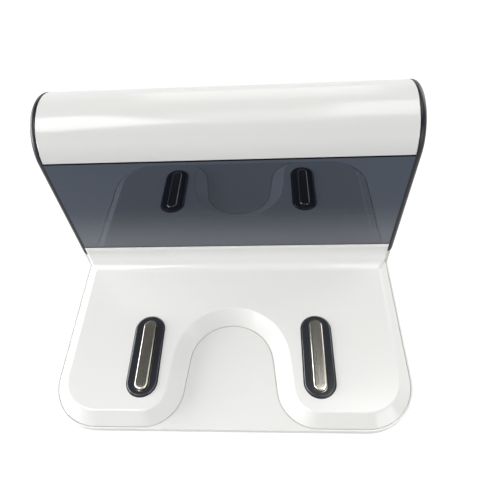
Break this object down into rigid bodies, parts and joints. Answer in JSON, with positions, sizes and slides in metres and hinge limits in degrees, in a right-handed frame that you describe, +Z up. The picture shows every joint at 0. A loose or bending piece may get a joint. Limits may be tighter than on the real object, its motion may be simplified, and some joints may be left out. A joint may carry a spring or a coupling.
{
  "type": "robot vacuum charging dock",
  "caption": "Free-standing charging dock: bevelled base with a U-shaped caster bay and sprung contact bars, and a rolled-top tower with a smoked signal window.",
  "frame": {"origin": "on the floor under the middle of the outline", "axes": "+X to the right along the tower, +Y to the back, +Z up; the base points to -Y"},
  "size_m": [0.1318, 0.1046, 0.0758],
  "materials": {
    "white_shell": "glossy injection-moulded white",
    "white_plate": "fine matt texture",
    "smoked_window": "polished smoked infrared-pass plastic",
    "black_cap": "polished black",
    "black_bezel": "polished black",
    "nickel": "nickel plate, lightly brushed",
    "spring_steel": "bright drawn wire",
    "brass": "stamped",
    "rubber": "matt",
    "screw_steel": "zinc plated",
    "inlet_black": "fine matt texture",
    "board_green": "solder mask",
    "emitter_clear": "tinted clear resin",
    "baffle_black": "matt",
    "ferrite": "sintered",
    "winding_tape": "wound tape",
    "capacitor_sleeve": "shrink sleeve",
    "red_lead": "insulated lead",
    "black_lead": "insulated lead",
    "ballast_steel": "sawn plate"
  },
  "bodies": {
    "dock": {"base_cover": "white_shell", "bottom_plate": "white_plate", "tower_shell": "white_shell", "signal_window": "smoked_window", "left_end_cap": "black_cap", "right_end_cap": "black_cap", "bottom_screws": "screw_steel", "inlet_housing": "inlet_black", "inlet_pins": "brass", "mains_leads": "black_lead", "emitter_board": "board_green", "emitters": "emitter_clear", "light_baffle": "baffle_black", "power_board": "board_green", "board_screws": "screw_steel", "transformer_core": "ferrite", "transformer_winding": "winding_tape", "mains_capacitor": "capacitor_sleeve", "output_capacitor": "capacitor_sleeve", "filter_choke": "ferrite", "board_lead": "black_lead", "ballast_plate": "ballast_steel", "front_left_foot": "rubber", "front_right_foot": "rubber", "rear_left_foot": "rubber", "rear_right_foot": "rubber", "left_contact_bezel": "black_bezel", "left_contact_terminal": "brass", "left_contact_lead": "red_lead", "left_front_spring": "spring_steel", "left_rear_spring": "spring_steel", "right_contact_bezel": "black_bezel", "right_contact_terminal": "brass", "right_contact_lead": "black_lead", "right_front_spring": "spring_steel", "right_rear_spring": "spring_steel"},
    "left_contact": {"left_contact_strip": "nickel"},
    "right_contact": {"right_contact_strip": "nickel"}
  },
  "joints": [
    {"name": "left_contact_press", "type": "slide", "parent": "dock", "child": "left_contact", "axis": [0, 0, -1], "range_m": [0, 0.001], "stiffness_N_per_m": 800, "springref_m": -0.001, "deforming": ["left_front_spring", "left_rear_spring"]},
    {"name": "right_contact_press", "type": "slide", "parent": "dock", "child": "right_contact", "axis": [0, 0, -1], "range_m": [0, 0.001], "stiffness_N_per_m": 800, "springref_m": -0.001, "deforming": ["right_front_spring", "right_rear_spring"]}
  ]
}
